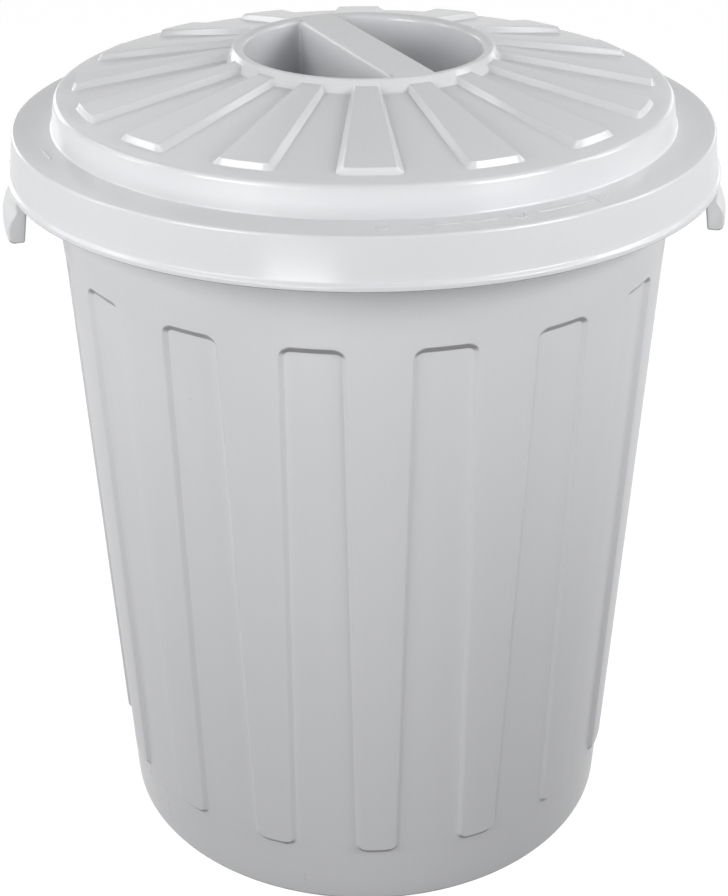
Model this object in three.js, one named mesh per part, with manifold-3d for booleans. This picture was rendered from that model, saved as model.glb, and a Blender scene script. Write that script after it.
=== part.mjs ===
// Round moulded plastic dustbin with a turn-and-lift lid and two side grips.
// Millimetres, +Z up, origin at the middle of the base. The front faces -Y, the grips sit at +X and -X.
import * as THREE from 'three';
import { mergeVertices } from 'three/addons/utils/BufferGeometryUtils.js';
import Module from 'manifold-3d';

const wasm = await Module();
wasm.setup();

// Whole bin
const flangeTop = 557;          // height of the lid's flat flange above the floor
const flangeRadius = 245;       // outer edge of that flange
const sectors = 16;             // strips round the tub, and ribs round the lid
const gap = 0.4;                // play between neighbouring pieces

// Tub
const tubWall = 3;
const baseRadius = 196.5;       // raised face of the strips, carried down to the floor
const draft = 0.0429;           // growth of the radius for each millimetre of height
const stripDepth = 3;           // how far the recessed strips lie behind the raised ones
const stripBevel = 2.6;         // width of the sloping sides of a strip
const recessTop = 471;
const recessBottom = 52;
const recessHalfTop = 20.2;     // half the width of a recess at its top
const recessHalfBottom = 24.2;
const cornerCut = 4;            // rounding of a raised strip's lower and a recess's upper corners
const floorHeight = 8;
const footInner = 175;
const footOuter = 188.5;
const footRise = 5;             // how far the middle of the base stands above the foot ring
const baseCorner = 6;
const rimRadius = 241;
const rimDrop = 20;             // length of the rim's turned-down lip
const rimEdge = 1.5;
const notchSpan = THREE.MathUtils.degToRad(21);

// Lid
const lidWall = 2.6;
const flangeThickness = 3;
const flangeEdge = 1.7;
const skirtDrop = 28.8;         // from the flange to the lip bead
const skirtFlare = 3.6;         // how far the skirt leans out on the way down
const lipBead = 2.2;            // how far the bead stands out from the skirt
const lipHeight = 4.3;
const crownFoot = 218;          // foot of the crown's upright face
const crownEdge = 215;
const crownHeight = 20.5;
const crownRounding = 3.6;
const crownSlope = 0.1672;      // fall of the crown from its middle to its edge
const ribHeightInner = 4.1;
const ribHeightOuter = 3.9;
const ribOuter = 200.2;
const ribBevel = 1.9;           // length of the slope at a rib's outer end
const ribTopHalf = THREE.MathUtils.degToRad(4.6);
const ribFootHalf = THREE.MathUtils.degToRad(5.9);
const ringOuter = 92.2;
const ringCrest = 88;
const ringFlare = 2.6;          // slope of the ring's outer side down to the crown
const ringHeight = 48.3;        // the ring round the recess, above the flange
const recessRadius = 82.6;
const recessFloorRadius = 80.2;
const recessFloor = 6.3;        // floor of the recess, above the flange
const barWidth = 31.5;
const barEdge = 1.6;
const barTurn = THREE.MathUtils.degToRad(22.5);
const lidTurn = THREE.MathUtils.degToRad(-1.5);
const lugCount = 4;
const lugSpan = THREE.MathUtils.degToRad(16);
const lugReach = 239;           // inner radius of the lugs under the rim's lip

// Side grips
const gripSpan = THREE.MathUtils.degToRad(35);
const gripTop = -34.6;          // shoulder of the grip, below the flange
const gripBottom = -65.5;
const gripNeck = 249.8;         // outer face just under the shoulder
const gripOuter = 256.3;        // outer face of the thick lower bar
const gripInner = 245.3;
const gripWall = 2.8;
const gripPockets = 5;

const columnsPerSector = 6;
const sectorAngle = (2 * Math.PI) / sectors;

const tubGrey = new THREE.MeshStandardMaterial({ color: 0xc4c6c8, roughness: 0.42, metalness: 0 });
const lidGrey = new THREE.MeshStandardMaterial({ color: 0xc8cacc, roughness: 0.4, metalness: 0 });
const gripGrey = new THREE.MeshStandardMaterial({ color: 0xb9bbbd, roughness: 0.45, metalness: 0 });

// ---- shared helpers ----

// Turns a closed outline of { radius, height } rows about Z. The outline runs anticlockwise, seen with
// the radius to the right. Column 0 faces -Y and the columns run towards +X, six to a sector.
// place(row, phase) returns the radius, height and angle within the sector of one point.
function turned(rows, place) {
  const outline = rows.map((row) => new THREE.Vector2(row.radius, row.height));
  const geometry = new THREE.LatheGeometry(outline, sectors * columnsPerSector);
  const position = geometry.getAttribute('position');
  for (let index = 0; index < position.count; index += 1) {
    const column = Math.floor(index / rows.length);
    const phase = column % columnsPerSector;
    const sector = Math.floor(column / columnsPerSector);
    const point = place(rows[index % rows.length], phase);
    const angle = sector * sectorAngle + point.angle;
    const x = point.radius * Math.sin(angle);
    const y = -point.radius * Math.cos(angle);
    position.setXYZ(index, x, y, point.height);
  }
  return geometry;
}

// Angles of the six columns of a sector: its middle, two edges, the middle of the gap, two edges.
function columnAngle(phase, innerEdge, outerEdge) {
  const angles = [0, innerEdge, outerEdge, sectorAngle / 2, sectorAngle - outerEdge, sectorAngle - innerEdge];
  return angles[phase];
}

function solidOf(geometry) {
  const bare = geometry.clone();
  bare.deleteAttribute('normal');
  bare.deleteAttribute('uv');
  const merged = mergeVertices(bare, 1e-4);
  const index = merged.getIndex().array;
  const corners = [];
  for (let start = 0; start < index.length; start += 3) {
    const [a, b, c] = [index[start], index[start + 1], index[start + 2]];
    if (a !== b && b !== c && c !== a) {
      corners.push(a, b, c);
    }
  }
  const vertProperties = new Float32Array(merged.getAttribute('position').array);
  const triVerts = new Uint32Array(corners);
  return new wasm.Manifold(new wasm.Mesh({ numProp: 3, vertProperties, triVerts }));
}

function geometryOf(solid) {
  const mesh = solid.getMesh();
  const geometry = new THREE.BufferGeometry();
  geometry.setAttribute('position', new THREE.BufferAttribute(new Float32Array(mesh.vertProperties), 3));
  geometry.setIndex(new THREE.BufferAttribute(new Uint32Array(mesh.triVerts), 1));
  geometry.computeVertexNormals();
  return geometry;
}

// A block that fills the sector middle +- span / 2 between two radii and two heights.
function sectorBlock(middle, span, inner, outer, bottom, top) {
  const start = middle - span / 2 - Math.PI / 2;
  const shape = new THREE.Shape();
  shape.absarc(0, 0, outer, start, start + span, false);
  shape.absarc(0, 0, inner, start + span, start, true);
  shape.closePath();
  const options = { depth: top - bottom, bevelEnabled: false, curveSegments: 8 };
  const block = new THREE.ExtrudeGeometry(shape, options);
  block.translate(0, 0, bottom);
  return solidOf(block);
}

function arcRows(radius, height, size, from, to, steps) {
  const rows = [];
  for (let step = 0; step <= steps; step += 1) {
    const angle = THREE.MathUtils.degToRad(from + ((to - from) * step) / steps);
    rows.push({ radius: radius + size * Math.cos(angle), height: height + size * Math.sin(angle) });
  }
  return rows;
}

// ---- tub ----

function tubRadius(height) {
  return baseRadius + draft * height;
}

function recessHalfWidth(height) {
  const share = (recessTop - height) / (recessTop - recessBottom);
  return THREE.MathUtils.lerp(recessHalfTop, recessHalfBottom, THREE.MathUtils.clamp(share, 0, 1));
}

// One row of the wall: depth is how much of the recess shows there, and cut widens the recess.
function wallRow(height, inset, depth, cut = 0) {
  return { radius: tubRadius(height) - inset, height, depth, cut };
}

function placeOnTub(row, phase) {
  const half = (recessHalfWidth(row.height) + (row.cut ?? 0)) / tubRadius(row.height);
  const bevel = stripBevel / tubRadius(row.height);
  const raisedHalf = sectorAngle / 2 - half;
  const recessed = phase === 2 || phase === 3 || phase === 4;
  return {
    radius: row.radius - (recessed ? stripDepth * (row.depth ?? 0) : 0),
    height: row.height,
    angle: columnAngle(phase, raisedHalf - bevel / 2, raisedHalf + bevel / 2),
  };
}

function buildTub() {
  const rimTop = flangeTop - flangeThickness - gap;
  const rimUnder = rimTop - tubWall;
  const bandInset = stripDepth;
  const cornerRow = wallRow(baseCorner, bandInset, 0);
  const wallRows = (inset) => [
    wallRow(recessBottom - 1, inset + bandInset, 0, cornerCut),
    wallRow(recessBottom + 2, inset, 1, cornerCut),
    wallRow(recessBottom + 9, inset, 1),
    wallRow(recessTop - 9, inset, 1),
    wallRow(recessTop - 3.5, inset, 1, -cornerCut),
    wallRow(recessTop, inset, 0, -cornerCut),
  ];
  const rows = [
    { radius: 0, height: footRise },
    { radius: footInner, height: footRise },
    { radius: footInner + 3, height: 0 },
    { radius: footOuter, height: 0 },
    { radius: (footOuter + cornerRow.radius) / 2 + 1.1, height: baseCorner * 0.28 },
    cornerRow,
    ...wallRows(0),
    wallRow(rimUnder - 2, 0, 0),
    { radius: tubRadius(rimUnder) + 2, height: rimUnder },
    { radius: rimRadius - tubWall, height: rimUnder },
    { radius: rimRadius - tubWall, height: rimUnder - rimDrop + tubWall },
    { radius: rimRadius, height: rimUnder - rimDrop + tubWall },
    { radius: rimRadius, height: rimTop - rimEdge },
    { radius: rimRadius - rimEdge, height: rimTop },
    { radius: tubRadius(rimTop) - tubWall + 1, height: rimTop },
    wallRow(rimTop - 1, tubWall, 0),
    ...wallRows(tubWall).reverse(),
    wallRow(floorHeight + 4, tubWall + bandInset, 0),
    { radius: footOuter - tubWall, height: tubWall + 1.5 },
    { radius: footInner + 5, height: tubWall + 0.4 },
    { radius: footInner + 2, height: floorHeight },
    { radius: 0, height: floorHeight },
  ];
  let tub = solidOf(turned(rows, placeOnTub));
  const lipInner = rimRadius - tubWall - 1;
  const lipOuter = rimRadius + 3;
  const lipBottom = rimUnder - rimDrop;
  for (let lug = 0; lug < lugCount; lug += 1) {
    const middle = lugAngle(lug) + lidTurn;
    tub = tub.subtract(sectorBlock(middle, notchSpan, lipInner, lipOuter, lipBottom, flangeTop));
  }
  return geometryOf(tub);
}

// ---- lid ----

function lugAngle(lug) {
  return ((lug + 0.5) * 2 * Math.PI) / lugCount;
}

// The crown's outer face, above the flange.
function crownTop(radius) {
  return crownHeight + (crownEdge - crownRounding - radius) * crownSlope;
}

function ribHeight(radius) {
  const share = (radius - ringOuter) / (ribOuter - ringOuter);
  return THREE.MathUtils.lerp(ribHeightInner, ribHeightOuter, share);
}

function placeOnLid(row, phase) {
  const onRib = phase === 0 || phase === 1 || phase === 5;
  return {
    radius: row.radius,
    height: flangeTop + row.height + (onRib ? row.rib ?? 0 : 0),
    angle: columnAngle(phase, ribTopHalf, ribFootHalf),
  };
}

// Rows of the ribbed crown, drop lower than its outer face, from the ring to the edge.
function crownRows(drop) {
  const foot = ringOuter + ringFlare;
  const row = (radius, share) => ({
    radius,
    height: crownTop(radius) - drop,
    rib: share * ribHeight(radius),
  });
  return [row(foot, 1), row(ribOuter, 1), row(ribOuter + ribBevel, 0)];
}

function lidShell() {
  const skirtBottom = -skirtDrop;
  const shoulder = crownEdge - lidWall - 1.7;
  const crown = arcRows(crownEdge - crownRounding, crownHeight - crownRounding, crownRounding, 78, 8, 3);
  const rows = [
    { radius: 0, height: recessFloor },
    { radius: recessFloorRadius - 3, height: recessFloor },
    { radius: recessFloorRadius, height: recessFloor + 3 },
    { radius: recessRadius, height: ringHeight - 5 },
    { radius: recessRadius + 1, height: ringHeight - 2 },
    { radius: recessRadius + 3, height: ringHeight - 0.4 },
    { radius: ringCrest, height: ringHeight },
    { radius: ringOuter, height: crownTop(ringOuter) + ribHeightInner },
    ...crownRows(0),
    ...crown,
    { radius: crownFoot, height: 0.9 },
    { radius: flangeRadius - flangeEdge, height: 0 },
    { radius: flangeRadius, height: -flangeEdge },
    { radius: flangeRadius + skirtFlare, height: skirtBottom },
    { radius: flangeRadius + skirtFlare + lipBead, height: skirtBottom - 1.4 },
    { radius: flangeRadius + skirtFlare + lipBead, height: skirtBottom - lipHeight + 1.2 },
    { radius: flangeRadius + skirtFlare + lipBead - 1.2, height: skirtBottom - lipHeight },
    { radius: flangeRadius + skirtFlare - lidWall + 0.5, height: skirtBottom - lipHeight },
    { radius: flangeRadius - lidWall, height: -flangeThickness },
    { radius: crownFoot + lidWall, height: -flangeThickness },
    { radius: crownFoot - 1.5, height: -flangeThickness + 1 },
    { radius: crownEdge - lidWall + 0.3, height: crownHeight - lidWall - 2 },
    { radius: shoulder, height: crownTop(shoulder) - lidWall },
    ...crownRows(lidWall).reverse(),
    { radius: ringOuter - 1.6, height: ringHeight - 3.2 - lidWall },
    { radius: ringCrest, height: ringHeight - lidWall },
    { radius: recessRadius + lidWall + 0.6, height: ringHeight - 2 - lidWall },
    { radius: recessFloorRadius + lidWall, height: recessFloor + 2 },
    { radius: recessFloorRadius - 1, height: recessFloor - lidWall },
    { radius: 0, height: recessFloor - lidWall },
  ];
  return solidOf(turned(rows.reverse(), placeOnLid));
}

// An upright bar with rounded upper edges, width wide, through the middle of the recess.
function barSolid(width, radius, bottom, top, edge) {
  const shape = new THREE.Shape();
  shape.moveTo(-width / 2, bottom);
  shape.lineTo(width / 2, bottom);
  shape.lineTo(width / 2, top - edge);
  shape.absarc(width / 2 - edge, top - edge, edge, 0, Math.PI / 2, false);
  shape.lineTo(-width / 2 + edge, top);
  shape.absarc(-width / 2 + edge, top - edge, edge, Math.PI / 2, Math.PI, false);
  shape.closePath();
  const bar = new THREE.ExtrudeGeometry(shape, { depth: 2 * radius, bevelEnabled: false, curveSegments: 3 });
  bar.translate(0, 0, -radius);
  bar.rotateX(Math.PI / 2);
  bar.rotateZ(barTurn);
  return solidOf(bar);
}

function roundPlug(radius, bottom, top) {
  const plug = new THREE.CylinderGeometry(radius, radius, top - bottom, sectors * columnsPerSector);
  plug.rotateX(Math.PI / 2);
  plug.translate(0, 0, (bottom + top) / 2);
  return solidOf(plug);
}

function buildLid() {
  const floorUnder = flangeTop + recessFloor - lidWall;
  const barTop = flangeTop + ringHeight - 0.2;
  const bar = barSolid(barWidth, flangeRadius, floorUnder + 0.6, barTop, barEdge);
  const hollowWidth = barWidth - 2 * lidWall;
  const hollowReach = recessFloorRadius - 2;
  const hollow = barSolid(hollowWidth, hollowReach, floorUnder - 5, barTop - lidWall, barEdge);
  let lid = lidShell().add(bar.intersect(roundPlug(recessRadius + 2.2, floorUnder, barTop + 1)));
  lid = lid.subtract(hollow);
  const lugBottom = flangeTop - skirtDrop - lipHeight + 2;
  for (let lug = 0; lug < lugCount; lug += 1) {
    const outer = flangeRadius + skirtFlare - 1.3;
    lid = lid.add(sectorBlock(lugAngle(lug), lugSpan, lugReach, outer, lugBottom, lugBottom + 4));
  }
  return geometryOf(lid);
}

// ---- side grips ----

// Section of a grip: a tongue inside the rim, a shelf for the fingers and a thick bar below.
function gripSection() {
  const tongueOuter = rimRadius - tubWall - gap;
  const tongueInner = tongueOuter - 8.5;
  return [
    { radius: tongueInner, height: -10.5 },
    { radius: tongueInner, height: gripTop - 5 },
    { radius: gripInner - 5, height: gripTop - 7 },
    { radius: gripInner - 1, height: gripTop - 15 },
    { radius: gripInner, height: gripBottom + 5 },
    { radius: gripInner + 1, height: gripBottom + 1.4 },
    { radius: gripInner + 3.4, height: gripBottom },
    { radius: gripOuter - 3.4, height: gripBottom },
    { radius: gripOuter - 1, height: gripBottom + 1.4 },
    { radius: gripOuter, height: gripBottom + 5 },
    { radius: gripOuter - 0.8, height: gripTop - 19 },
    { radius: gripNeck, height: gripTop - 12 },
    { radius: gripNeck, height: gripTop - 1.2 },
    { radius: gripNeck - 1.2, height: gripTop },
    { radius: tongueOuter, height: gripTop },
    { radius: tongueOuter, height: -10.5 },
    { radius: tongueInner, height: -10.5 },
  ];
}

function buildGrip(middle) {
  const ring = turned(gripSection(), (row, phase) => ({
    radius: row.radius,
    height: flangeTop + row.height,
    angle: (phase * sectorAngle) / columnsPerSector,
  }));
  const bottom = flangeTop + gripBottom;
  let grip = solidOf(ring).intersect(sectorBlock(middle, gripSpan, 200, 300, bottom - 5, flangeTop));
  const pocketSpan = (gripSpan - ((gripPockets + 1) * gripWall) / gripInner) / gripPockets;
  for (let pocket = 0; pocket < gripPockets; pocket += 1) {
    const offset = (pocket - (gripPockets - 1) / 2) * (pocketSpan + gripWall / gripInner);
    const inner = gripInner - 6;
    const outer = gripOuter - gripWall - 2.4;
    const deep = bottom + gripWall;
    grip = grip.subtract(sectorBlock(middle + offset, pocketSpan, inner, outer, deep, bottom + 12));
  }
  return geometryOf(grip);
}

// ---- assembly ----

function named(name, geometry, material) {
  const mesh = new THREE.Mesh(geometry, material);
  mesh.name = name;
  return mesh;
}

const lid = named('lid', buildLid(), lidGrey);
lid.rotation.z = lidTurn;

const group = new THREE.Group();
group.add(named('tub', buildTub(), tubGrey));
group.add(named('grip_left', buildGrip(-Math.PI / 2), gripGrey));
group.add(named('grip_right', buildGrip(Math.PI / 2), gripGrey));
group.add(lid);

export default group;
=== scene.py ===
import math

import bpy
import bmesh
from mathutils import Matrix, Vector


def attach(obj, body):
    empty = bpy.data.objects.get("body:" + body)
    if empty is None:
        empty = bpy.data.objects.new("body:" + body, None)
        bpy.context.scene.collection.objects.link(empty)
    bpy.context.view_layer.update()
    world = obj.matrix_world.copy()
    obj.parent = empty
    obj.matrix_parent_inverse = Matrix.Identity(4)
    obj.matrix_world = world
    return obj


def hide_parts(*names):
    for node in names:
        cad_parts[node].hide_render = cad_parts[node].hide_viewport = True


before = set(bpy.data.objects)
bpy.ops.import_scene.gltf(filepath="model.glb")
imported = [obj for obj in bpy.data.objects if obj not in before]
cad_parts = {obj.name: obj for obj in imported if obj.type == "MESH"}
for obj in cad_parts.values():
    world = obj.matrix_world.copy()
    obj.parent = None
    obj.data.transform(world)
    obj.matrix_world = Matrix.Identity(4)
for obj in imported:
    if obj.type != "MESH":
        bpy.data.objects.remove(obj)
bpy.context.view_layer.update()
print("frame loaded", sorted(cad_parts))

mm = 0.001
fullTurn = 2 * math.pi
sectors = 16            # strips round the tub, ribs round the lid
columns = 24            # mesh columns in each sector
columnStep = fullTurn / (sectors * columns)


# Helpers that make shapes

meshing = {
    "roundingShare": 0.48,      # most of an edge that a rounding may take
    "weld": 0.02,               # points closer than this become one
    "slimmest": 0.01,
    "sharpAngle": 40,           # degrees
}


def lerp(a, b, share):
    return a + (b - a) * share


def clamp(value, low=0.0, high=1.0):
    return max(low, min(high, value))


# Rounds the corners (x, y, radius) of a path, steps pieces to a corner
def roundedPath(corners, steps=4, closed=False):
    points = []
    count = len(corners)
    most = meshing["roundingShare"]
    for i, (x, y, radius) in enumerate(corners):
        if radius == 0 or (not closed and i in (0, count - 1)):
            points.append((x, y))
            continue
        here = Vector((x, y))
        before = Vector(corners[i - 1][:2]) - here
        after = Vector(corners[(i + 1) % count][:2]) - here
        half = before.angle(after) / 2
        reach = min(radius / math.tan(half), most * before.length, most * after.length)
        middle = (before.normalized() + after.normalized()).normalized()
        centre = here + middle * reach / math.cos(half)
        start = here + before.normalized() * reach - centre
        end = here + after.normalized() * reach - centre
        turn = math.atan2(start.x * end.y - start.y * end.x, start.dot(end))
        for step in range(steps + 1):
            angle = turn * step / steps
            c, s = math.cos(angle), math.sin(angle)
            points.append((centre.x + c * start.x - s * start.y, centre.y + s * start.x + c * start.y))
    return points


# Profile of a step between two levels, with one more point halfway down its slope
def stepProfile(corners):
    path = roundedPath(corners, steps=3)
    path.insert(5, tuple(lerp(Vector(path[4]), Vector(path[5]), 0.5)))
    return path


# Height of a path of (x, y) points at x
def along(path, x):
    for (x0, y0), (x1, y1) in zip(path, path[1:]):
        if x <= x1:
            return lerp(y0, y1, clamp((x - x0) / (x1 - x0))) if x1 > x0 else y1
    return path[-1][1]


# A place at an angle from the front, counted towards the right
def onCircle(radius, angle, height):
    return Vector((radius * math.sin(angle), -radius * math.cos(angle), height)) * mm


# Adds quads between rings of places or vertices; a ring of one point closes a pole
def skin(mesh, rings):
    made = []
    for ring in rings:
        made.append([v if isinstance(v, bmesh.types.BMVert) else mesh.verts.new(v) for v in ring])
    for lower, upper in zip(made, made[1:]):
        count = max(len(lower), len(upper))
        for i in range(count):
            j = (i + 1) % count
            if len(lower) == 1:
                corners = (lower[0], upper[j], upper[i])
            elif len(upper) == 1:
                corners = (lower[i], lower[j], upper[0])
            else:
                corners = (lower[i], lower[j], upper[j], upper[i])
            mesh.faces.new(corners)
    return made


# Closes a row of equal outlines into a solid
def sweep(mesh, outlines):
    made = skin(mesh, outlines)
    mesh.faces.new(made[0])
    mesh.faces.new(made[-1])


def finishMesh(name, mesh):
    bmesh.ops.remove_doubles(mesh, verts=mesh.verts, dist=meshing["weld"] * mm)
    bmesh.ops.dissolve_degenerate(mesh, dist=meshing["slimmest"] * mm, edges=mesh.edges)
    bmesh.ops.recalc_face_normals(mesh, faces=mesh.faces)
    data = bpy.data.meshes.new(name)
    mesh.to_mesh(data)
    mesh.free()
    data.shade_smooth()
    data.set_sharp_from_angle(angle=math.radians(meshing["sharpAngle"]))
    obj = bpy.data.objects.new(name, data)
    bpy.context.scene.collection.objects.link(obj)
    return obj


# Spreads half a sector of (angle, depth) columns over the whole sector
def wholeSector(half, sectorAngle):
    mirrored = [(sectorAngle - angle, depth) for angle, depth in reversed(half[1:-1])]
    return half + mirrored


# The tub, from its foot to the rim

tubShape = {
    "baseRadius": 196.5,        # raised strips, carried down to the floor
    "draft": 0.0429,
    "wall": 3.0,
    "baseFlat": 90.0,           # a ring on the flat middle of the base
    "baseLift": 5.0,
    "footRing": 178.0,
    "footSlope": 3.4,
    "footInset": 0.2,
    "footRounding": 5.2,
    "bandTop": 16.0,            # end of the plain band above the foot
    "gutter": 3.4,              # level of the inside beside the foot ring
    "floorStep": 2.0,           # the inside steps up this much further out
    "stripDepth": 3.0,
    "stripBevel": 2.8,
    "bevelRounding": 0.9,
    "endStretch": 1.6,          # the ends of the strips slope less than their sides
    "stripFoot": 52.5,          # lower end of the raised strips
    "stripFootRounding": 7.0,
    "recessHead": 469.4,        # upper end of the recessed strips
    "recessHeadRounding": 6.0,
    "recessHalfTop": 20.2,
    "recessHalfBottom": 24.2,
    "tuck": 0.25,               # gap between edge columns that pass beyond a rounded end
    "evenBelow": (3.0, 12.0),   # columns even out this far below the strips, over this height
    "evenAbove": (8.0, 30.0),
    "neck": 535.0,              # the plain wall ends here
    "rimTop": 553.6,
    "rimRadius": 241.0,
    "rimLip": 17.0,
    "notchSpan": 21.0,          # degrees
    "notchEdge": 1.2,           # in a notch the rim ends this far inside its lip
    "notchSlit": 0.0004,        # radians between the columns of a notch edge
    "firstNotch": 43.5,         # degrees, 45 less the lid's turn
}


def tubRadius(height):
    return tubShape["baseRadius"] + tubShape["draft"] * height


bevelHalf = tubShape["stripBevel"] / 2
stripStep = stepProfile([
    (-3 * bevelHalf, 0, 0),
    (-bevelHalf, 0, tubShape["bevelRounding"]),
    (bevelHalf, tubShape["stripDepth"], tubShape["bevelRounding"]),
    (3 * bevelHalf, tubShape["stripDepth"], 0),
])
edgeColumns = stripStep[1:-1]


# Half a sector of the wall at one height: angles and depths below the raised face
def wallColumns(height):
    radius = tubRadius(height)
    sectorHalf = radius * math.pi / sectors
    foot, footRound = tubShape["stripFoot"], tubShape["stripFootRounding"]
    head, headRound = tubShape["recessHead"], tubShape["recessHeadRounding"]
    stretch, tuck = tubShape["endStretch"], tubShape["tuck"]
    share = clamp((head - height) / (head - foot))
    recessHalf = lerp(tubShape["recessHalfTop"], tubShape["recessHalfBottom"], share)
    stripHalf = sectorHalf - recessHalf
    footDepth = along(stripStep, (foot - height) / stretch)
    headDepth = along(stripStep, (head - height) / stretch)
    footRise = foot + footRound - height
    headRise = height - (head - headRound)
    edges = []
    for index, (offset, depth) in enumerate(edgeColumns):
        place = stripHalf + offset
        if footRise > 0:
            reach = footRound + stretch * offset
            if reach > footRise:
                bend = math.sqrt(1 - (footRise / reach) ** 2)
                place = stripHalf - footRound + (footRound + offset) * bend
            else:
                place = stripHalf - footRound - tuck * (len(edgeColumns) - index)
                depth = footDepth
        if headRise > 0:
            reach = headRound - stretch * offset
            if reach > headRise:
                bend = math.sqrt(1 - (headRise / reach) ** 2)
                place = stripHalf + headRound - (headRound - offset) * bend
            else:
                place = stripHalf + headRound + tuck * (index + 1)
                depth = headDepth
        edges.append((place, depth))
    half = [(0, footDepth), (edges[0][0] * 0.5, footDepth), *edges]
    half += [(lerp(edges[-1][0], sectorHalf, 0.5), headDepth), (sectorHalf, headDepth)]
    gapBelow, overBelow = tubShape["evenBelow"]
    gapAbove, overAbove = tubShape["evenAbove"]
    even = clamp((foot - gapBelow - height) / overBelow) + clamp((height - head - gapAbove) / overAbove)
    placed = []
    for index, (place, depth) in enumerate(half):
        placed.append((lerp(place / radius, index * columnStep, even), depth))
    return wholeSector(placed, fullTurn / sectors)


def wallRing(height, inset):
    columnsHere = wallColumns(height)
    ring = []
    for sector in range(sectors):
        for angle, depth in columnsHere:
            radius = tubRadius(height) - inset - depth
            ring.append(onCircle(radius, sector * fullTurn / sectors + angle, height))
    return ring


# An even ring whose columns close up on the four notch edges; notched is the place inside a notch
def rimRing(radius, height, notched=None):
    ring = []
    notchHalf = math.radians(tubShape["notchSpan"]) / 2
    firstNotch = math.radians(tubShape["firstNotch"])
    quarter = fullTurn / 4
    for index in range(sectors * columns):
        angle = index * columnStep
        fromNotch = (angle - firstNotch + quarter / 2) % quarter - quarter / 2
        inside = abs(fromNotch) < notchHalf
        toEdge = abs(fromNotch) - notchHalf
        if notched and abs(toEdge) < columnStep:
            slit = -tubShape["notchSlit"] if inside else tubShape["notchSlit"]
            angle += math.copysign(1, fromNotch) * (slit - toEdge)
        place = notched if notched and inside else (radius, height)
        ring.append(onCircle(place[0], angle, place[1]))
    return ring


# Heights of the wall's rings, closest where the strips end
def wallHeights():
    foot, footRound = tubShape["stripFoot"], tubShape["stripFootRounding"]
    head, headRound = tubShape["recessHead"], tubShape["recessHeadRounding"]
    stretch = tubShape["endStretch"]
    middle = (0.03, 0.25, 0.5, 0.75, 0.97)
    heights = [foot - fall for fall in (12, 7, 4)]
    heights += [foot - stretch * offset for offset, depth in reversed(edgeColumns)]
    heights += [foot + footRound * share for share in (0.46, 0.55, 0.7, 0.85, 1.0)]
    heights += [lerp(foot + footRound, head - headRound, share) for share in middle]
    heights += [head - headRound * share for share in (1.0, 0.85, 0.72, 0.62, 0.54)]
    heights += [head - stretch * offset for offset, depth in reversed(edgeColumns)]
    heights += [head + rise for rise in (4, 7, 12, 24, 40, 60)]
    return heights


# Outlines are lists of radius, height and rounding
def buildTub():
    mesh = bmesh.new()
    wall, flat, footRing = tubShape["wall"], tubShape["baseFlat"], tubShape["footRing"]
    lift, slope, band = tubShape["baseLift"], tubShape["footSlope"], tubShape["bandTop"]
    bandBottomRadius = tubRadius(0) - tubShape["stripDepth"]
    bandTopRadius = tubRadius(band) - tubShape["stripDepth"]
    base = roundedPath([
        (flat, lift, 0), (footRing - slope, lift, 2), (footRing, 0, 1),
        (bandBottomRadius - tubShape["footInset"], 0, tubShape["footRounding"]), (bandTopRadius, band, 0),
    ], steps=5)
    rings = [[Vector((0, 0, lift)) * mm]]
    rings += [rimRing(radius, height) for radius, height in base]
    rings += [wallRing(height, 0) for height in wallHeights()]
    rimTop, rimRadius, neck = tubShape["rimTop"], tubShape["rimRadius"], tubShape["neck"]
    rimUnder, inner = rimTop - wall, rimRadius - wall
    lipBottom = rimUnder - tubShape["rimLip"]
    outerRim = roundedPath([
        (tubRadius(neck), neck, 0), (tubRadius(rimUnder), rimUnder, 2.5), (inner, rimUnder, 1),
        (inner, lipBottom, 0.6), (rimRadius, lipBottom, 1), (rimRadius, rimTop, 1.6),
        (tubRadius(rimTop) - wall, rimTop, 1.8), (tubRadius(neck) - wall, neck, 0),
    ], steps=3)
    root = inner - tubShape["notchEdge"]
    for radius, height in outerRim:
        notched = (root, max(height, rimUnder)) if radius > root else None
        rings.append(rimRing(radius, height, notched))
    rings += [wallRing(height, wall) for height in reversed(wallHeights())]
    gutter, floorStep = tubShape["gutter"], tubShape["floorStep"]
    innerFloor = roundedPath([
        (bandTopRadius - wall, band, 0), (bandBottomRadius - wall - 1, gutter, 4.5),
        (footRing + floorStep, gutter - 0.1, 1), (footRing - slope + floorStep, lift + wall, 1.2),
        (flat, lift + wall, 0),
    ], steps=4)
    rings += [rimRing(radius, height) for radius, height in innerFloor]
    rings.append([Vector((0, 0, lift + wall)) * mm])
    skin(mesh, rings)
    return finishMesh("tub_shell", mesh)


tub = buildTub()
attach(tub, "tub_body")
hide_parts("tub")
print("tub built", len(tub.data.polygons))


# The lid; heights are counted from the top of its flange

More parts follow.
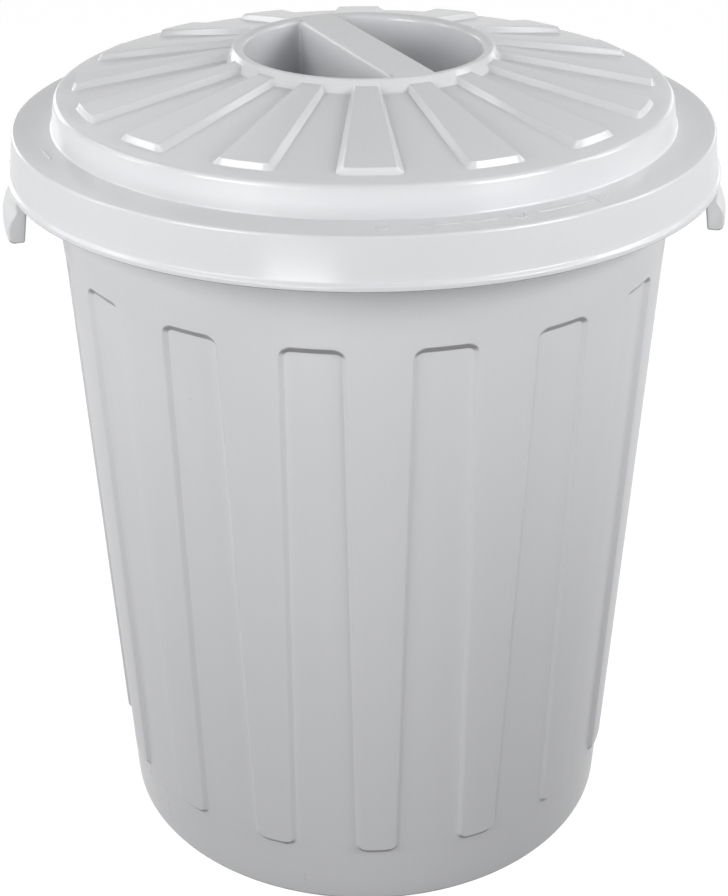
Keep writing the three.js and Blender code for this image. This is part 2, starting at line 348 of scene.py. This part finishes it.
lidShape = {
    "flangeTop": 557.0,         # above the floor
    "flangeRadius": 245.0,
    "turn": -1.5,               # degrees, as the lid lies on the tub
    "wall": 2.6,
    "skirtDrop": 28.8,
    "skirtFlare": 3.6,
    "lipBead": 2.1,
    "lipHeight": 4.3,
    "crownInner": 98.0,         # the plain crown runs from here to crownOuter
    "crownOuter": 208.0,
    "crownFoot": 218.0,
    "crownEdge": 215.0,
    "crownHeight": 20.5,
    "crownRounding": 3.6,
    "crownSlope": 0.1672,
    "ribHeightInner": 4.1,
    "ribHeightOuter": 3.9,
    "ribEnd": 200.2,
    "ribEndBevel": 1.9,
    "ribCorner": 1.8,
    "ribTopHalf": 4.6,          # degrees
    "ribFootHalf": 5.9,
    "tuck": 0.2,                # gap between edge columns that pass beyond a rib's corner
    "evenOutside": (204.0, 7.0),    # columns even out from this radius, over this width
    "evenInside": 4.0,
    "ringOuter": 92.2,
    "ringShoulder": 44.5,
    "ringBevel": 2.2,
    "ringFlare": 2.6,
    "ringCrest": 88.0,
    "ringHeight": 48.3,
    "ringRounding": 3.8,
    "recessRadius": 82.8,
    "recessFloorRadius": 80.4,
    "recessFloor": 6.3,
    "pocketMiddle": 46.0,
    "barHalf": 15.75,
    "barTop": 48.1,
    "barDraft": 0.5,
    "barTurn": 22.5,
    "cornerFillet": 1.4,
    "floorFillet": 4.0,
}

ribStep = stepProfile([(-1, 1, 0), (0, 1, 0.24), (1, 0, 0.24), (2, 0, 0)])
ribColumns = ribStep[1:-1]


def crownTop(radius):
    edge = lidShape["crownEdge"] - lidShape["crownRounding"]
    return lidShape["crownHeight"] + (edge - radius) * lidShape["crownSlope"]


def ribHeight(radius):
    share = (radius - lidShape["ringOuter"]) / (lidShape["ribEnd"] - lidShape["ringOuter"])
    return lerp(lidShape["ribHeightInner"], lidShape["ribHeightOuter"], clamp(share))


# Half a sector of the crown at one radius: angles and shares of the rib's height
def crownColumns(radius):
    topHalf = math.radians(lidShape["ribTopHalf"]) * radius
    footHalf = math.radians(lidShape["ribFootHalf"]) * radius
    sectorHalf = radius * math.pi / sectors
    corner, bevel = lidShape["ribCorner"], lidShape["ribEndBevel"]
    ribShare = along(ribStep, (radius - lidShape["ribEnd"]) / bevel)
    edges = []
    for index, (offset, share) in enumerate(ribColumns):
        place = lerp(topHalf, footHalf, offset)
        rounding = corner + bevel * offset
        end = lidShape["ribEnd"] + bevel * offset
        over = radius - (end - rounding)
        if 0 < over < rounding:
            place -= rounding - math.sqrt(rounding ** 2 - over ** 2)
        elif over >= rounding:
            place -= rounding + lidShape["tuck"] * (len(ribColumns) - index)
            share = ribShare
        edges.append((place, share))
    half = [(0, ribShare), (edges[0][0] * 0.5, ribShare), *edges]
    half += [(lerp(edges[-1][0], sectorHalf, 0.5), 0), (sectorHalf, 0)]
    evenFrom, evenOver = lidShape["evenOutside"]
    even = clamp((radius - evenFrom) / evenOver)
    even += clamp((lidShape["ringOuter"] - radius) / lidShape["evenInside"])
    placed = []
    for index, (place, share) in enumerate(half):
        placed.append((lerp(place / radius, index * columnStep, even), share))
    return wholeSector(placed, fullTurn / sectors)


# A ring of the lid; where it is ribbed, the crown and its ribs, lowered by drop, may stand above height
def lidRing(radius, height, drop, ribbed):
    ring = []
    turn = math.radians(lidShape["turn"])
    here = crownColumns(radius)
    for sector in range(sectors):
        for angle, share in here:
            level = height
            if ribbed:
                level = max(height, crownTop(radius) + share * ribHeight(radius) - drop)
            place = sector * fullTurn / sectors + angle + turn
            ring.append(onCircle(radius, place, lidShape["flangeTop"] + level))
    return ring


# Height of the ring's rounded inner side
def beadTop(radius):
    span = lidShape["ringCrest"] - lidShape["recessRadius"]
    share = clamp((lidShape["ringCrest"] - radius) / span)
    return lidShape["ringHeight"] - lidShape["ringRounding"] * (1 - math.sqrt(1 - share ** 2))


# Where a ray from inside one pocket meets the pocket's D-shaped outline, in the bar's own directions,
# with 0 on the bar's side, 1 on the arc and a share between them on the fillets
def pocketHit(centre, direction, outer, chord, fillet):
    hits = []
    if direction.x < -1e-9:
        hits.append((chord - centre.x) / direction.x)
    half = centre.dot(direction)
    hits.append(-half + math.sqrt(half ** 2 - centre.length_squared + outer ** 2))
    point = centre + direction * min(hits)
    onChord = abs(point.x - chord) < 1e-6
    filletAlong = math.sqrt((outer - fillet) ** 2 - (chord + fillet) ** 2)
    if onChord:
        inCorner = abs(point.y) > filletAlong
    else:
        inCorner = math.atan2(abs(point.y), point.x) > math.atan2(filletAlong, chord + fillet)
    if inCorner and fillet > 0.01:
        away = centre - Vector((chord + fillet, math.copysign(filletAlong, point.y)))
        half = away.dot(direction)
        root = half ** 2 - away.length_squared + fillet ** 2
        point = centre + direction * (-half + math.sqrt(max(root, 0)))
        return point, clamp((point.x - chord) / fillet)
    return point, 0.0 if onChord else 1.0


crestSteps = 6
bendSteps = 5
barSteps = 36


# Loops of a pocket, from the crest to the floor: arc radius, chord, fillet, height on the arc and on the bar
def pocketLoops(offset, chordTop):
    ringTop, barTop = lidShape["ringHeight"] - offset, lidShape["barTop"] - offset
    outer, chord = lidShape["recessRadius"] + offset, lidShape["barHalf"] - offset
    floorOuter, floorChord = lidShape["recessFloorRadius"] + offset, chord + lidShape["barDraft"]
    floor = lidShape["recessFloor"] - offset
    fillet, bend = lidShape["cornerFillet"] + offset, lidShape["floorFillet"] + offset
    loops = []
    for step in range(1, crestSteps + 1):
        angle = math.pi / 2 * step / crestSteps
        over, fall = math.sin(angle), 1 - math.cos(angle)
        loops.append((
            lerp(lidShape["ringCrest"], outer, over), lerp(chordTop, chord, over), fillet * over,
            ringTop - lidShape["ringRounding"] * fall, barTop - (chord - chordTop) * fall,
        ))
    topArc, topBar = loops[-1][3:]
    for share in (0.1, 0.35, 0.65, 1.0):
        loops.append((
            lerp(outer, floorOuter, share), lerp(chord, floorChord, share), fillet,
            lerp(topArc, floor + bend, share), lerp(topBar, floor + bend, share),
        ))
    for step in range(1, bendSteps + 1):
        angle = math.pi / 2 * step / bendSteps
        shrink = bend * (1 - math.cos(angle))
        level = floor + bend * (1 - math.sin(angle))
        loops.append((floorOuter - shrink, floorChord + shrink, fillet + shrink * 0.5, level, level))
    return loops


# The recess with its bar, inside the crest of the ring; offset moves the surface out of the pockets
def recessPatch(mesh, offset, barColumns, crest):
    turn = math.radians(lidShape["barTurn"] + lidShape["turn"])
    count = sectors * columns
    firstColumn = round(math.radians(lidShape["barTurn"]) / columnStep)
    crestRadius = lidShape["ringCrest"]
    across = Vector((math.cos(turn), math.sin(turn), 0))
    lengthwise = Vector((math.sin(turn), -math.cos(turn), 0))
    runs = [math.sin(math.pi * (step / barSteps - 0.5)) for step in range(barSteps + 1)]

    def place(point, side, level):
        spot = across * point.x * side + lengthwise * point.y
        return (spot + Vector((0, 0, lidShape["flangeTop"] + level))) * mm

    # the flat top of the bar, in lines from end to end
    lines = []
    for column in range(-barColumns, barColumns + 1):
        crossing = crestRadius * math.sin(column * columnStep)
        reach = crestRadius * math.cos(column * columnStep)
        line = [crest[(firstColumn + count // 2 - column) % count]]
        for run in runs[1:-1]:
            point = Vector((abs(crossing), reach * run))
            level = max(lidShape["barTop"], beadTop(point.length)) - offset
            line.append(mesh.verts.new(place(point, math.copysign(1, crossing), level)))
        line.append(crest[(firstColumn + column) % count])
        lines.append(line)
    for before, after in zip(lines, lines[1:]):
        for step in range(barSteps):
            mesh.faces.new((before[step], before[step + 1], after[step + 1], after[step]))

    # each pocket: loops that go down its wall and close its floor
    chordTop = crestRadius * math.sin(barColumns * columnStep)
    chordEnd = crestRadius * math.cos(barColumns * columnStep)
    centre = Vector((lidShape["pocketMiddle"], 0.0))
    loops = pocketLoops(offset, chordTop)
    topArc = loops[crestSteps - 1][3]
    for side, chordLine in ((1, lines[-1]), (-1, lines[0])):
        previous = list(chordLine)
        points = [Vector((chordTop, chordEnd * run)) for run in runs]
        for column in range(barColumns + 1, count // 2 - barColumns):
            angle = column * columnStep
            points.append(Vector((crestRadius * math.sin(angle), crestRadius * math.cos(angle))))
            previous.append(crest[(firstColumn + side * column) % count])
        directions = [(point - centre).normalized() for point in points]
        for outer, chord, fillet, arcLevel, barLevel in loops:
            ring = []
            for direction in directions:
                point, share = pocketHit(centre, direction, outer, chord, fillet)
                level = lerp(barLevel, arcLevel, share)
                if share == 0 and arcLevel > topArc:
                    level = max(level, beadTop(point.length) - offset)
                ring.append(mesh.verts.new(place(point, side, level)))
            skin(mesh, [previous, ring])
            previous = ring
        outer, chord = loops[-1][:2]
        floor = lidShape["recessFloor"] - offset
        fillet = lidShape["cornerFillet"] + offset
        edge = [pocketHit(centre, direction, outer, chord, fillet)[0] for direction in directions]
        inner = [[place(centre.lerp(spot, share), side, floor) for spot in edge] for share in (0.7, 0.35)]
        skin(mesh, [previous, *inner, [place(centre, side, floor)]])


lugShape = {
    "count": 4,
    "span": 16.0,               # degrees
    "steps": 16,
    "reach": 239.0,
    "outer": 247.3,
    "bottom": -31.1,
    "top": -27.1,
    "edge": 0.9,
}


# The lugs inside the skirt that catch under the rim when the lid is turned
def addLugs(mesh):
    lug = lugShape
    section = roundedPath([
        (lug["reach"], lug["bottom"], lug["edge"]), (lug["outer"], lug["bottom"], 0),
        (lug["outer"], lug["top"], 0), (lug["reach"], lug["top"], lug["edge"]),
    ], closed=True)
    flangeTop = lidShape["flangeTop"]
    for index in range(lug["count"]):
        middle = (index + 0.5) * 360 / lug["count"] + lidShape["turn"]
        outlines = []
        for step in range(lug["steps"] + 1):
            angle = math.radians(middle + lug["span"] * (step / lug["steps"] - 0.5))
            outlines.append([onCircle(radius, angle, flangeTop + level) for radius, level in section])
        sweep(mesh, outlines)


# Plain raised marks on the flange and the bar: sizes in mm, angles in degrees from the front
marks = {
    "thickness": 1.1,
    "height": 0.45,
    "sunk": 0.3,
    "barSunk": 0.3,             # the bar's marks stand this much lower
    "headLength": 13.0,
    "headHalf": 6.6,
    "turnLeft": {"radius": 230.0, "from": 17.6, "to": 4.6},
    "turnRight": {"radius": 230.0, "from": 24.4, "to": 38.3},
    "ring": {"radius": 229.0, "middle": 21.0, "size": 5.2, "open": 70},
    "pip": {"radius": 230.5, "middle": 0.1, "size": 4.0},
    "dash": {"radius": 228.5, "from": -70.5, "to": -65.7},
    "barTriangle": {"along": 1.5, "size": 3.0},
    "barPip": {"along": -33.6, "size": 1.3},
}

circleAngles = [fullTurn * step / 24 for step in range(24)]


def arc(radius, angles, middle=(0, 0)):
    return [(middle[0] + radius * math.cos(a), middle[1] + radius * math.sin(a)) for a in angles]


def raised(mesh, outline, level):
    heights = (level - marks["sunk"], level + marks["height"])
    sweep(mesh, [[Vector((x, y, height)) * mm for x, y in outline] for height in heights])


# Turns points along and across an arc into x and y
def onArc(points, radius, degrees):
    placed = []
    for run, across in points:
        angle = math.radians(degrees) + run / radius
        placed.append(((radius + across) * math.sin(angle), -(radius + across) * math.cos(angle)))
    return placed


def addMarks(mesh):
    level = lidShape["flangeTop"]
    half = marks["thickness"] / 2
    for name in ("turnLeft", "turnRight", "dash"):
        mark = marks[name]
        radius = mark["radius"]
        length = math.radians(mark["to"] - mark["from"]) * radius
        way = math.copysign(1, length)
        neck = length if name == "dash" else length - way * marks["headLength"]
        runs = [neck * step / 12 for step in range(13)]
        points = [(run, half) for run in runs]
        if name != "dash":
            points += [(neck, marks["headHalf"]), (length, 0), (neck, -marks["headHalf"])]
        points += [(run, -half) for run in reversed(runs)]
        raised(mesh, onArc(points, radius, mark["from"]), level)
    ring = marks["ring"]
    angles = [math.radians(lerp(ring["open"], 360 - ring["open"], step / 20) - 90) for step in range(21)]
    loop = arc(ring["size"] + half, angles) + arc(ring["size"] - half, reversed(angles))
    raised(mesh, onArc(loop, ring["radius"], ring["middle"]), level)
    pip = marks["pip"]
    raised(mesh, onArc(arc(pip["size"], circleAngles), pip["radius"], pip["middle"]), level)
    turn = math.radians(lidShape["barTurn"] + lidShape["turn"])
    barLevel = level + lidShape["barTop"] - marks["barSunk"]
    for name, angles in (("barTriangle", circleAngles[::8]), ("barPip", circleAngles)):
        mark = marks[name]
        middle = (mark["along"] * math.sin(turn), -mark["along"] * math.cos(turn))
        raised(mesh, arc(mark["size"], angles, middle), barLevel)


# Rows are radius, height, drop of the crown, and whether the ring is ribbed
def buildLid():
    mesh = bmesh.new()
    wall, flange = lidShape["wall"], lidShape["flangeRadius"]
    foot, edge, crownOuter = lidShape["crownFoot"], lidShape["crownEdge"], lidShape["crownOuter"]
    crest, ringTop, ringOuter = lidShape["ringCrest"], lidShape["ringHeight"], lidShape["ringOuter"]
    crownInner, ringShoulder = lidShape["crownInner"], lidShape["ringShoulder"]
    ringFoot = ringOuter + lidShape["ringFlare"]
    ringSide = roundedPath([
        (crest, ringTop, 0), (ringOuter - lidShape["ringBevel"], ringTop, 2.4), (ringOuter, ringShoulder, 0),
        (lerp(ringOuter, ringFoot, 0.3), lerp(ringShoulder, crownTop(ringFoot), 0.3), 0),
        (ringFoot, crownTop(ringFoot), 1.0), (crownInner, crownTop(crownInner), 0),
    ], steps=5)
    rows = [(radius, height, 0, True) for radius, height in ringSide]
    end, corner, bevel = lidShape["ribEnd"], lidShape["ribCorner"], lidShape["ribEndBevel"]
    radii = [crownInner + 1, 115, 140, 165, 185, 194]
    radii += [end - corner + share * corner for share in (0, 0.35, 0.6, 0.8)]
    radii += [end + bevel * offset for offset, share in ribColumns]
    radii += [end + bevel + rise for rise in (0.8, 2.2, 4.5)]
    rows += [(radius, 0, 0, True) for radius in radii]
    skirtFoot = flange + lidShape["skirtFlare"]
    skirtBottom = -lidShape["skirtDrop"]
    bead = skirtFoot + lidShape["lipBead"]
    bottom = skirtBottom - lidShape["lipHeight"]
    underFlange = -wall - 0.2
    shoulder = edge - wall - 0.4
    outside = roundedPath([
        (crownOuter, crownTop(crownOuter), 0), (edge - 0.1, crownTop(edge - 0.1), lidShape["crownRounding"]),
        (foot, 0, 1.3), (flange, 0, 1.9), (skirtFoot - 0.2, skirtBottom + 0.9, 1.2),
        (bead, skirtBottom - 0.6, 1.0), (bead, bottom, 1.3), (skirtFoot - wall + 0.4, bottom, 0.6),
        (flange - wall, underFlange, 2), (foot - 1.9, underFlange, 1.5),
        (shoulder, crownTop(shoulder) - wall, 1.5), (crownOuter, crownTop(crownOuter) - wall, 0),
    ], steps=5)
    rows += [(radius, height, 0, False) for radius, height in outside]
    rows += [(radius, 0, wall, True) for radius in reversed(radii) if radius < crownOuter - 1]
    rows += [(95.5, 0, wall, True), (93.0, 40.2, wall, True), (90.8, 43.6, wall, True)]
    rows += [(89.6, ringTop - wall - 0.5, wall, False), (crest, ringTop - wall, wall, False)]
    rings = skin(mesh, [lidRing(*row) for row in rows])
    recessPatch(mesh, 0, 9, rings[0])
    recessPatch(mesh, wall, 8, rings[-1])
    addLugs(mesh)
    addMarks(mesh)
    return finishMesh("lid_shell", mesh)


lid = buildLid()
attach(lid, "lid_body")
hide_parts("lid")
print("lid built", len(lid.data.polygons))


# The two side grips; heights are counted from the lid's flange

gripShape = {
    "span": 35.0,               # degrees
    "top": -34.6,
    "bottom": -65.5,
    "neck": 249.8,
    "neckDrop": 9.5,            # the neck widens from here to the bar
    "outer": 256.3,
    "outerDrop": 18.0,
    "inner": 245.3,
    "shelfDepth": 3.5,
    "shelfDrop": 7.5,
    "tongueOuter": 237.6,
    "tongueInner": 229.1,
    "tongueTop": -10.5,
    "tongueDrop": 6.0,
    "edge": 1.4,
    "cells": 5,                 # hollows behind the bar, between thin webs
    "cellWall": 2.8,
    "cellFloor": 2.8,
    "cellTop": 12.0,
    "cellOuter": 251.1,
    "slit": 0.05,               # height in which the back of the bar turns into a cell
    "slitAngle": 0.0003,        # the same along the rim, in radians
}


# Outline of a grip, drawn in by inset at its rounded ends; hollow opens a cell behind the bar
def gripOutline(inset, hollow):
    g = gripShape
    top, bottom = g["top"] - inset, g["bottom"] + inset
    inner, outer, neck = g["inner"] + inset, g["outer"] - inset, g["neck"] - inset
    tongueInner, tongueOuter = g["tongueInner"] + inset, g["tongueOuter"] - inset
    tongueTop = g["tongueTop"] - inset
    shelf = (inner - g["shelfDepth"], g["top"] - g["shelfDrop"] + inset)
    cellFloor, cellTop = g["bottom"] + g["cellFloor"], g["bottom"] + g["cellTop"]
    faceTop = lerp(inner, shelf[0], (cellTop - bottom) / (shelf[1] - bottom))
    faceFloor = lerp(inner, shelf[0], (cellFloor - bottom) / (shelf[1] - bottom))
    cellInTop = g["cellOuter"] if hollow else faceTop
    cellInFloor = g["cellOuter"] if hollow else faceFloor
    return roundedPath([
        (tongueInner, tongueTop, 0.8), (tongueInner, g["top"] - g["tongueDrop"] + inset, 2.5), (*shelf, 5),
        (faceTop, cellTop, 0), (cellInTop, cellTop - g["slit"], 0),
        (cellInFloor, cellFloor + g["slit"], 0), (faceFloor, cellFloor, 0),
        (inner, bottom, 2.4), (outer, bottom, 4.2), (outer, g["top"] - g["outerDrop"], 12),
        (neck, g["top"] - g["neckDrop"], 6), (neck, top, 1.2),
        (tongueOuter, top, 0.8), (tongueOuter, tongueTop, 0.8),
    ], steps=5, closed=True)


# Angle, inset and cell of every slice of a grip
def gripSlices():
    g = gripShape
    half = math.radians(g["span"]) / 2
    ends = []
    for step in range(5):
        bend = math.pi / 2 * step / 4
        run = g["edge"] * (1 - math.cos(bend)) / g["inner"]
        ends.append((-half + run, g["edge"] * (1 - math.sin(bend)), False))
    web = g["cellWall"] / g["inner"]
    cell = (2 * half - (g["cells"] + 1) * web) / g["cells"]
    slices = list(ends)
    for index in range(g["cells"]):
        middle = (index - (g["cells"] - 1) / 2) * (cell + web)
        slices.append((middle - cell / 2 - g["slitAngle"], 0, False))
        slices += [(middle + cell * share, 0, True) for share in (-0.5, -0.3, -0.1, 0.1, 0.3, 0.5)]
        slices.append((middle + cell / 2 + g["slitAngle"], 0, False))
    return slices + [(-angle, inset, hollow) for angle, inset, hollow in reversed(ends)]


def buildGrip(name, middle):
    mesh = bmesh.new()
    outlines = []
    for angle, inset, hollow in gripSlices():
        outline = gripOutline(inset, hollow)
        outlines.append([onCircle(r, middle + angle, lidShape["flangeTop"] + h) for r, h in outline])
    sweep(mesh, outlines)
    return finishMesh(name, mesh)


for side, middle in (("left", -math.pi / 2), ("right", math.pi / 2)):
    grip = buildGrip("grip_" + side + "_bar", middle)
    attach(grip, "tub_body")
    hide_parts("grip_" + side)
print("grips built")


# The plastic of each piece

class Value:
    def __init__(self, finish, socket):
        self.finish = finish
        self.socket = socket

    def maths(self, operation, first, second):
        return self.finish.make("ShaderNodeMath", {"operation": operation}, {0: first, 1: second})

    def __add__(self, other):
        return self.maths("ADD", self, other)

    def __radd__(self, other):
        return self.maths("ADD", other, self)

    def __sub__(self, other):
        return self.maths("SUBTRACT", self, other)

    def __rsub__(self, other):
        return self.maths("SUBTRACT", other, self)

    def __mul__(self, other):
        return self.maths("MULTIPLY", self, other)

    def __rmul__(self, other):
        return self.maths("MULTIPLY", other, self)


class Finish:
    def __init__(self, owner):
        owner.use_nodes = True
        self.owner = owner
        self.tree = owner.node_tree

    def node(self, name):
        return self.tree.nodes[name]

    def present(self, name):
        return Value(self, self.tree.nodes[name].outputs[0])

    def make(self, kind, settings=None, sockets=None, output=0):
        node = self.tree.nodes.new(kind)
        for key, setting in (settings or {}).items():
            setattr(node, key, setting)
        self.feed(node, sockets or {})
        return Value(self, node.outputs[output])

    def feed(self, node, sockets):
        for key, value in sockets.items():
            if isinstance(value, Value):
                self.tree.links.new(value.socket, node.inputs[key])
            else:
                node.inputs[key].default_value = value

    def noise(self, place, scale, detail, roughness=0.5):
        sockets = {"Vector": place, "Scale": scale, "Detail": detail, "Roughness": roughness}
        return self.make("ShaderNodeTexNoise", None, sockets)

    def mixColours(self, share, first, second):
        return self.make("ShaderNodeMix", {"data_type": "RGBA"}, {0: share, 6: first, 7: second}, 2)


plasticLook = {
    "tub": {"colour": (0.662, 0.666, 0.684), "roughness": 0.30, "seed": 0.0},
    "lid": {"colour": (0.672, 0.678, 0.694), "roughness": 0.20, "seed": 3.1},
    "grips": {"colour": (0.68, 0.687, 0.696), "roughness": 0.30, "seed": 6.4},
}

moulding = {
    "driftScale": 7.0,
    "speckleScale": 340.0,
    "rubbedScale": (90.0, 90.0, 9.0),
    "darkest": (0.955, 0.957, 0.96),
    "lightest": (1.035, 1.033, 1.03),
    # painted shade: the dark grey that faces looking down are mixed towards
    "paintedShadeColour": (0.235, 0.235, 0.24, 1),
    "paintedShadeFrom": -0.2,           # how far a face looks down before the painted shade shows
    "paintedShadeFull": -0.5,
    "paintedShadeShare": 0.9,
    "grainScale": 420.0,
    "grainHeight": 0.012,
    "rippleScale": 26.0,
    "rippleHeight": 0.3,
    "bumpStrength": 0.35,
    "bumpDistance": 0.0006,
    "refraction": 1.52,
}


# Satin moulded plastic: soft tone drift, fine speckle, a faint moulded grain, light rubbing, and painted
# shade on faces that look down, under the small ledges
def mouldedPlastic(name, look):
    m = moulding
    finish = Finish(bpy.data.materials.new(name))
    place = finish.make("ShaderNodeTexCoord", None, None, 3)
    place = finish.make("ShaderNodeMapping", None, {"Vector": place, "Location": (look["seed"],) * 3})
    drift = finish.noise(place, m["driftScale"], 2.0)
    speckle = finish.noise(place, m["speckleScale"], 2.0, 0.6)
    rubbed = finish.make("ShaderNodeMapping", None, {"Vector": place, "Scale": m["rubbedScale"]})
    streaks = finish.noise(rubbed, 1.0, 4.0, 0.65)
    tone = 0.5 + 0.5 * (drift - 0.5) + 0.2 * (speckle - 0.5) + 0.25 * (streaks - 0.5)
    dark = [part * share for part, share in zip(look["colour"], m["darkest"])] + [1]
    light = [part * share for part, share in zip(look["colour"], m["lightest"])] + [1]
    colour = finish.mixColours(tone, dark, light)
    facing = finish.make("ShaderNodeTexCoord", None, None, "Normal")
    upward = finish.make("ShaderNodeSeparateXYZ", None, {"Vector": facing}, "Z")
    # painted shade: faces that look down, at the heads and feet of the strips and under the lips, are
    # darkened to paint in the shade under the small ledges
    paintedShadeMask = finish.make("ShaderNodeMapRange", {"clamp": True}, {
        "Value": upward, "From Min": m["paintedShadeFrom"], "From Max": m["paintedShadeFull"],
        "To Min": 0.0, "To Max": m["paintedShadeShare"],
    })
    colour = finish.mixColours(paintedShadeMask, colour, m["paintedShadeColour"])
    uneven = 0.08 * (drift - 0.5) + 0.06 * (streaks - 0.5) + 0.03 * (speckle - 0.5)
    grain = finish.noise(place, m["grainScale"], 2.0, 0.6)
    ripple = finish.noise(place, m["rippleScale"], 2.0, 0.4)
    bump = finish.make("ShaderNodeBump", None, {
        "Height": m["grainHeight"] * grain + m["rippleHeight"] * ripple,
        "Strength": m["bumpStrength"], "Distance": m["bumpDistance"],
    })
    finish.feed(finish.node("Principled BSDF"), {
        "Base Color": colour, "Roughness": look["roughness"] + uneven, "Normal": bump,
        "IOR": m["refraction"], "Metallic": 0.0,
    })
    return finish.owner


def wear(obj, material):
    obj.data.materials.clear()
    obj.data.materials.append(material)


gripPlastic = mouldedPlastic("grip_plastic", plasticLook["grips"])
wear(tub, mouldedPlastic("tub_plastic", plasticLook["tub"]))
wear(lid, mouldedPlastic("lid_plastic", plasticLook["lid"]))
for side in ("left", "right"):
    wear(bpy.data.objects["grip_" + side + "_bar"], gripPlastic)
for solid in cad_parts.values():
    wear(solid, gripPlastic)        # the CAD solids, which are hidden
print("finishes made")


# Camera, lamps and backdrop

cameraPlace = {
    "azimuth": 2.525,           # degrees, to the left of the front
    "distance": 1152.18257,
    "height": 905.010495,
    "aside": -0.572516,
    "pitch": 28.190,
    "roll": 0.1732,
    "focal": 1671.384,          # pixels
    "photoWidth": 728,
    "sensor": 36,
}

cameraData = bpy.data.cameras.new("photo_camera")
camera = bpy.data.objects.new("photo_camera", cameraData)
bpy.context.scene.collection.objects.link(camera)
bpy.context.scene.camera = camera
azimuth = math.radians(cameraPlace["azimuth"])
out = Vector((-math.sin(azimuth), -math.cos(azimuth), 0))
right = Vector((math.cos(azimuth), -math.sin(azimuth), 0))
spot = out * cameraPlace["distance"] + right * cameraPlace["aside"]
camera.location = (spot + Vector((0, 0, cameraPlace["height"]))) * mm
pitch = math.radians(90 - cameraPlace["pitch"])
camera.rotation_mode = "XYZ"
camera.rotation_euler = (pitch, 0, -azimuth)
camera.rotation_euler.rotate_axis("Z", -math.radians(cameraPlace["roll"]))
cameraData.sensor_fit = "HORIZONTAL"
cameraData.sensor_width = cameraPlace["sensor"]
cameraData.lens = cameraPlace["sensor"] * cameraPlace["focal"] / cameraPlace["photoWidth"]
cameraData.clip_start = 0.05
cameraData.clip_end = 50

lamps = {
    # azimuth and elevation in degrees, distance and height of the middle, size, power
    "right_near": (45, 15, 0.95, 0.60, (0.4, 0.4), 4.9),
    "left_near": (-45, 15, 0.95, 0.60, (0.4, 0.4), 3.7),
    "front_low": (-20, -6, 1.75, 0.42, (0.6, 0.42), 7.0),
    "front": (-30, 18, 1.75, 0.42, (0.6, 0.5), 1.5),
    "right_flank": (91, 26, 1.50, 0.42, (0.3, 0.45), 2.8),
    "left_flank": (-88, 20, 1.50, 0.42, (0.35, 0.35), 2.2),
    "right_high": (98, 45, 1.50, 0.42, (0.25, 0.25), 2.1),
    "left_high": (-98, 45, 1.50, 0.42, (0.25, 0.25), 2.1),
    "right_top": (48, 60, 1.50, 0.42, (0.28, 0.28), 0.5),
    "left_top": (-48, 60, 1.50, 0.42, (0.28, 0.28), 0.5),
    "right_behind": (120, 38, 1.50, 0.42, (0.3, 0.3), 1.0),
    "left_behind": (-120, 38, 1.50, 0.42, (0.3, 0.3), 1.1),
    "back_left": (-143, 14, 1.75, 0.42, (0.65, 0.6), 3.1),
    "back_right": (143, 14, 1.75, 0.42, (0.5, 0.5), 0.9),
    "back": (-160, 34, 1.75, 0.42, (0.6, 0.6), 0.5),
}
lampAim = Vector((0, 0, 0.43))

for name, (azimuth, elevation, distance, height, size, power) in lamps.items():
    data = bpy.data.lights.new(name, "AREA")
    data.shape = "RECTANGLE"
    data.size, data.size_y = size
    data.energy = power
    turn, rise = math.radians(azimuth), math.radians(elevation)
    away = Vector((math.sin(turn) * math.cos(rise), -math.cos(turn) * math.cos(rise), math.sin(rise)))
    lamp = bpy.data.objects.new(name, data)
    lamp.location = Vector((0, 0, height)) + away * distance
    lamp.rotation_euler = (lamp.location - lampAim).to_track_quat("Z", "Y").to_euler()
    bpy.context.scene.collection.objects.link(lamp)

studioLight = {
    "world": 0.02,              # plain light from all round
    "backdrop": 1.0,            # what the camera and reflections see
    "floorGlow": 0.985,         # the same on the floor, which keeps its shadow
    "floorGrey": 0.14,
    "floorHalf": 12,
}


# One where the camera or a reflection looks, and nothing for other rays
def seenDirectly(finish):
    rays = ("Is Camera Ray", "Is Glossy Ray", "Is Transmission Ray")
    seen = [finish.make("ShaderNodeLightPath", None, None, ray) for ray in rays]
    either = finish.make("ShaderNodeMath", {"operation": "MAXIMUM"}, {0: seen[0], 1: seen[1]})
    return finish.make("ShaderNodeMath", {"operation": "MAXIMUM"}, {0: either, 1: seen[2]})


white = (1, 1, 1, 1)
world = bpy.data.worlds.new("studio")
bpy.context.scene.world = world
sky = Finish(world)
sky.feed(sky.node("Background"), {"Color": white, "Strength": studioLight["world"]})
backdrop = sky.make("ShaderNodeBackground", None, {"Color": white, "Strength": studioLight["backdrop"]})
ambient = sky.present("Background")
chosen = sky.make("ShaderNodeMixShader", None, {0: seenDirectly(sky), 1: ambient, 2: backdrop})
sky.feed(sky.node("World Output"), {"Surface": chosen})

floorMesh = bmesh.new()
reach = studioLight["floorHalf"]
corners = ((-reach, -reach, 0), (reach, -reach, 0), (reach, reach, 0), (-reach, reach, 0))
floorMesh.faces.new([floorMesh.verts.new(corner) for corner in corners])
floor = finishMesh("floor", floorMesh)
paper = Finish(bpy.data.materials.new("floor_paper"))
wear(floor, paper.owner)
fibres = paper.noise(paper.make("ShaderNodeTexCoord", None, None, 3), 60.0, 3.0)
grey = studioLight["floorGrey"]
paperTone = paper.mixColours(fibres, (grey * 0.97,) * 3 + (1,), (grey * 1.03,) * 3 + (1,))
paper.feed(paper.node("Principled BSDF"), {
    "Base Color": paperTone, "Roughness": 0.9, "Specular IOR Level": 0.0,
})
glow = paper.make("ShaderNodeEmission", None, {"Color": white, "Strength": studioLight["floorGlow"]})
unlit = paper.make("ShaderNodeEmission", None, {"Color": white, "Strength": 0.0})
glowing = paper.make("ShaderNodeMixShader", None, {0: seenDirectly(paper), 1: unlit, 2: glow})
both = paper.make("ShaderNodeAddShader", None, {0: paper.present("Principled BSDF"), 1: glowing})
paper.feed(paper.node("Material Output"), {"Surface": both})

bpy.context.scene.view_settings.view_transform = "Standard"
print("studio set")
